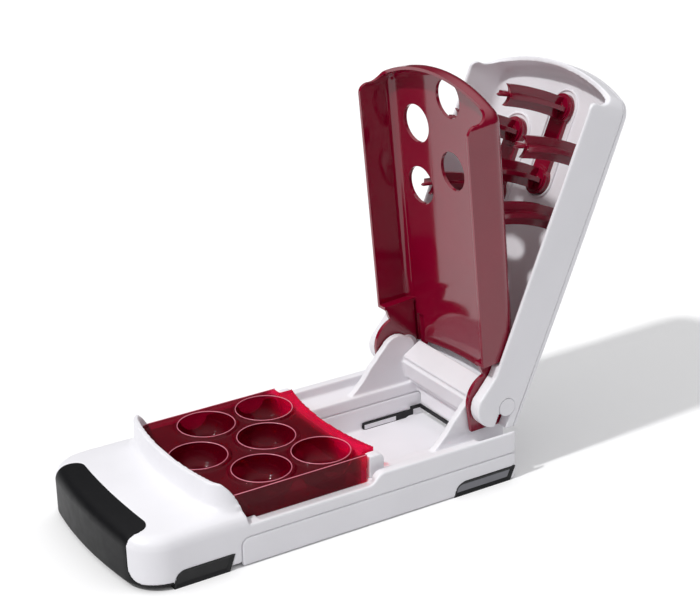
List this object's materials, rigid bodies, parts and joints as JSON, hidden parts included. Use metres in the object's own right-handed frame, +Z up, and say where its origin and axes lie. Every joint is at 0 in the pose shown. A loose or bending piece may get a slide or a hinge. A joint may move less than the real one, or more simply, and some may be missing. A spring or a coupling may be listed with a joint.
{
  "type": "cherry pitter",
  "caption": "Hand-lever cherry pitter, open: white base with a clear red well tray, burgundy splatter shield and a lever of plus-shaped rods.",
  "frame": {"origin": "On the table under the middle of the open object's bounding box.", "axes": "+X from the soft grip to the hinge and rear, +Y across the base to the side away from the camera, +Z up."},
  "size_m": [0.2684, 0.0986, 0.1882],
  "materials": {
    "white_plastic": "smooth satin-gloss white ABS",
    "grip_rubber": "soft satin black elastomer",
    "foot_rubber": "matt black rubber",
    "clear_red_plastic": "polished clear red plastic",
    "burgundy_plastic": "polished burgundy plastic"
  },
  "bodies": {
    "base": {"base_housing": "white_plastic", "front_grip": "grip_rubber", "front_foot_near": "foot_rubber", "front_foot_far": "foot_rubber", "cherry_tray": "clear_red_plastic", "tray_latch_near": "white_plastic", "tray_latch_far": "white_plastic", "hinge_cover": "white_plastic", "hinge_hub_near": "white_plastic", "hinge_hub_far": "white_plastic", "rear_seal": "foot_rubber"},
    "catcher": {"pit_catcher": "white_plastic", "rear_foot_near": "foot_rubber", "rear_foot_far": "foot_rubber"},
    "shield": {"splatter_shield": "burgundy_plastic"},
    "lever": {"lever_frame": "white_plastic", "lever_cover": "white_plastic", "rod_carrier_near": "burgundy_plastic", "rod_carrier_mid": "burgundy_plastic", "rod_carrier_far": "burgundy_plastic", "pitting_rod_near_front": "burgundy_plastic", "pitting_rod_near_rear": "burgundy_plastic", "pitting_rod_mid_front": "burgundy_plastic", "pitting_rod_mid_rear": "burgundy_plastic", "pitting_rod_far_front": "burgundy_plastic", "pitting_rod_far_rear": "burgundy_plastic"}
  },
  "joints": [
    {"name": "shield_hinge", "type": "hinge", "parent": "base", "child": "shield", "pos_m": [0.05957, 0, 0.0367], "axis": [0, 1, 0], "range_deg": [-85.3, 0]},
    {"name": "lever_hinge", "type": "hinge", "parent": "shield", "child": "lever", "pos_m": [0.05957, 0, 0.0367], "axis": [0, 1, 0], "range_deg": [-25.7, 0]},
    {"name": "catcher_slide", "type": "slide", "parent": "base", "child": "catcher", "axis": [1, 0, 0], "range_m": [0, 0.11]}
  ]
}
